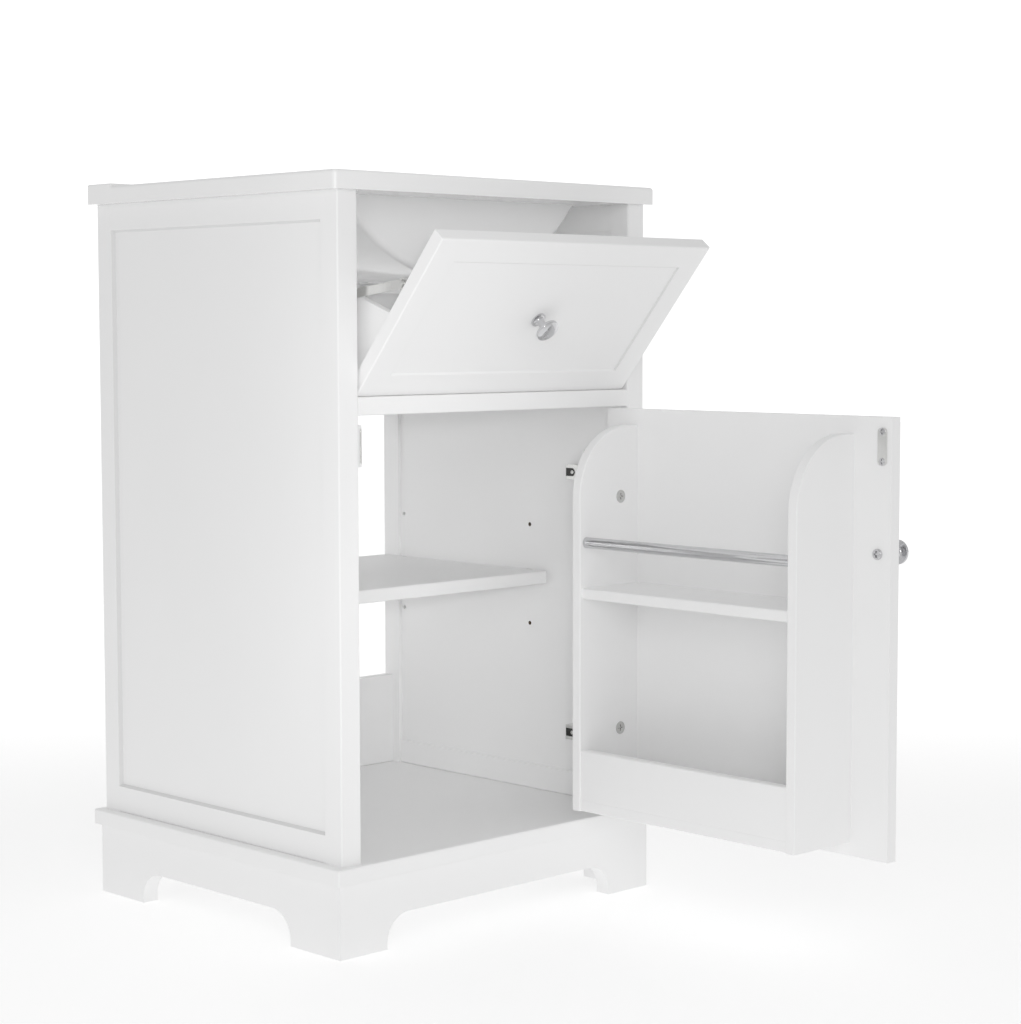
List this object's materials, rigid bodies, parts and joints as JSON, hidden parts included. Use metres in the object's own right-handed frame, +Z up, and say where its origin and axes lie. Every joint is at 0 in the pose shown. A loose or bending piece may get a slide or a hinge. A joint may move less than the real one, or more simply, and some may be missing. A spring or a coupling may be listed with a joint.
{
  "type": "vanity unit",
  "caption": "White bathroom vanity unit: inset sink top, tilt-out flap with a tray on slotted stays, hinged door carrying a storage rack, open back, bracket-foot plinth.",
  "frame": {"origin": "On the floor, in the middle of the overall width and depth as the unit stands with its door and flap open.", "axes": "+Z is up, -Y is the front with flap and door, +X is the side the door is hinged on."},
  "size_m": [0.504, 0.8584, 0.853],
  "materials": {
    "white_paint": "satin white paint on board",
    "glazed_ceramic": "white glaze",
    "polished_chrome": "polished",
    "nickel_steel": "bright nickel plate",
    "white_plastic": "moulded white plastic"
  },
  "bodies": {
    "cabinet": {"catch_housing": "white_plastic", "catch_poles": "nickel_steel", "floor_board": "white_paint", "hinge_arm_lower": "nickel_steel", "hinge_arm_upper": "nickel_steel", "hinge_plate_lower": "nickel_steel", "hinge_plate_upper": "nickel_steel", "hinge_screws": "polished_chrome", "lower_back_rail": "white_paint", "mid_rail": "white_paint", "plinth_blocks": "white_paint", "post_front_left": "white_paint", "post_front_right": "white_paint", "post_rear_left": "white_paint", "post_rear_right": "white_paint", "shelf": "white_paint", "shelf_supports": "nickel_steel", "side_bottom_rail_left": "white_paint", "side_bottom_rail_right": "white_paint", "side_panel_left": "white_paint", "side_panel_right": "white_paint", "side_top_rail_left": "white_paint", "side_top_rail_right": "white_paint", "sink_top": "glazed_ceramic", "skirt_front": "white_paint", "skirt_left": "white_paint", "skirt_rear": "white_paint", "skirt_right": "white_paint", "stay_stud_left": "nickel_steel", "stay_stud_right": "nickel_steel", "upper_back_panel": "white_paint"},
    "door": {"door_board": "white_paint", "door_knob": "polished_chrome", "door_knob_screw": "polished_chrome", "hinge_cup_lower": "nickel_steel", "hinge_cup_upper": "nickel_steel", "rack_bar": "polished_chrome", "rack_bottom": "white_paint", "rack_cam_locks": "nickel_steel", "rack_end_free_side": "white_paint", "rack_end_hinge_side": "white_paint", "rack_lip": "white_paint", "rack_shelf": "white_paint", "strike_plate": "nickel_steel", "strike_screws": "polished_chrome"},
    "flap": {"flap_board": "white_paint", "flap_knob": "polished_chrome", "flap_knob_screw": "polished_chrome", "flap_pivot_pins": "polished_chrome", "stay_bracket_left": "nickel_steel", "stay_bracket_right": "nickel_steel", "tray_back": "white_paint", "tray_bottom": "white_paint", "tray_side_left": "white_paint", "tray_side_right": "white_paint"},
    "stay_left": {"stay_arm_left": "nickel_steel"},
    "stay_right": {"stay_arm_right": "nickel_steel"},
    "link_upper": {"hinge_link_upper": "nickel_steel"},
    "link_lower": {"hinge_link_lower": "nickel_steel"}
  },
  "joints": [
    {"name": "door_hinge", "type": "hinge", "parent": "cabinet", "child": "door", "pos_m": [0.202, -0.0172, 0.345], "axis": [0, 0, 1], "range_deg": [-89.5, 6]},
    {"name": "flap_hinge", "type": "hinge", "parent": "cabinet", "child": "flap", "pos_m": [0, -0.0148, 0.6195], "axis": [1, 0, 0], "range_deg": [-40, 0]},
    {"name": "stay_left", "type": "hinge", "parent": "flap", "child": "stay_left", "pos_m": [-0.2045, -0.08316, 0.7289], "axis": [1, 0, 0], "range_deg": [-0.5, 20.5]},
    {"name": "stay_right", "type": "hinge", "parent": "flap", "child": "stay_right", "pos_m": [0.2045, -0.08316, 0.7289], "axis": [1, 0, 0], "range_deg": [-0.5, 20.5]},
    {"name": "link_upper", "type": "hinge", "parent": "cabinet", "child": "link_upper", "pos_m": [0.18, 0.0002, 0.5065], "axis": [0, 0, 1], "range_deg": [-1, 13]},
    {"name": "link_lower", "type": "hinge", "parent": "cabinet", "child": "link_lower", "pos_m": [0.18, 0.0002, 0.184], "axis": [0, 0, 1], "range_deg": [-1, 13]}
  ],
  "couplings": [
    {"joint": "stay_left", "follows": "flap_hinge", "ratio": -0.5},
    {"joint": "stay_right", "follows": "flap_hinge", "ratio": -0.5},
    {"joint": "link_upper", "follows": "door_hinge", "ratio": -0.14246},
    {"joint": "link_lower", "follows": "door_hinge", "ratio": -0.14246}
  ]
}
